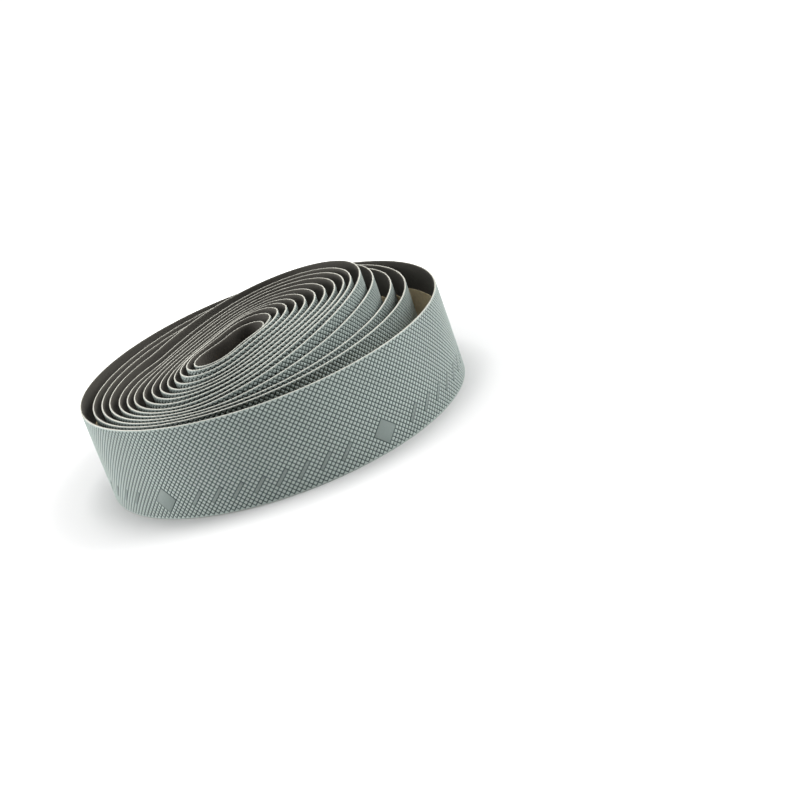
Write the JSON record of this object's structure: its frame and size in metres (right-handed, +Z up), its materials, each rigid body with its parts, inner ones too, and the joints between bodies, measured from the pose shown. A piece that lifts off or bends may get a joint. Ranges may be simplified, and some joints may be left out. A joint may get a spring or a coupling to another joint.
{
  "type": "handlebar tape roll",
  "caption": "Loosely wound roll of cushioned bicycle handlebar tape with a diamond-textured outer face, standing on its edge turns.",
  "frame": {"origin": "middle of the roll's outline, on the surface that the roll stands on", "axes": "+Z up along the winding axis, +X towards the side where the inner turns have slid up, -Y towards the viewer"},
  "size_m": [0.1182, 0.1208, 0.0396],
  "materials": {
    "tape": "matt embossed polyurethane face on a dark foam back",
    "liner": "matt kraft paper"
  },
  "bodies": {
    "root": {"tape": "tape", "liner": "liner"}
  },
  "joints": []
}
